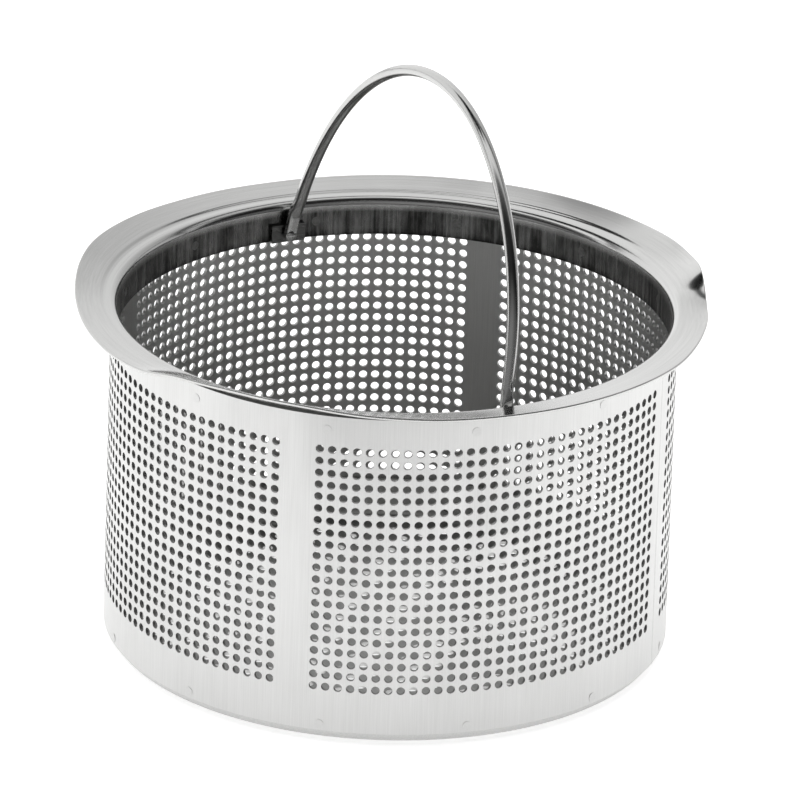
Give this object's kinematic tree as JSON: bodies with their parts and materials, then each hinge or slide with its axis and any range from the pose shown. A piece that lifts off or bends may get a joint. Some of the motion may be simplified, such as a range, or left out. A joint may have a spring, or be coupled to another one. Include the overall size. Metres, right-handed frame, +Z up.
{
  "type": "basket strainer",
  "caption": "Flanged stainless basket strainer with a perforated cylindrical wall, a perforated floor and a wire bail that folds down into its mouth.",
  "frame": {"origin": "the middle of the basket's underside, on its vertical axis", "axes": "+Z points up out of the mouth; X runs through the two bail pivots, with the front pivot on +X; the bail leans towards +Y at rest"},
  "size_m": [0.151, 0.151, 0.1388],
  "materials": {
    "collar_steel": "satin spun stainless steel",
    "sleeve_steel": "fine satin stainless sheet, punched",
    "pan_steel": "satin pressed stainless sheet",
    "weld_steel": "flushed weld",
    "plate_steel": "bright rolled stainless strip",
    "rivet_steel": "bright peened head",
    "wire_steel": "polished stainless wire"
  },
  "bodies": {
    "basket": {"rim_collar": "collar_steel", "strainer_sleeve": "sleeve_steel", "base_pan": "pan_steel", "seam_weld": "weld_steel", "base_spot_welds": "weld_steel", "collar_spot_welds": "weld_steel", "pivot_plate_front": "plate_steel", "pivot_plate_back": "plate_steel", "pivot_rivet_front": "rivet_steel", "pivot_rivet_back": "rivet_steel"},
    "bail": {"bail_handle": "wire_steel"}
  },
  "joints": [
    {"name": "bail_swing", "type": "hinge", "parent": "basket", "child": "bail", "pos_m": [0, 0, 0.0771], "axis": [1, 0, 0], "range_deg": [-78.8, 101.2]}
  ]
}
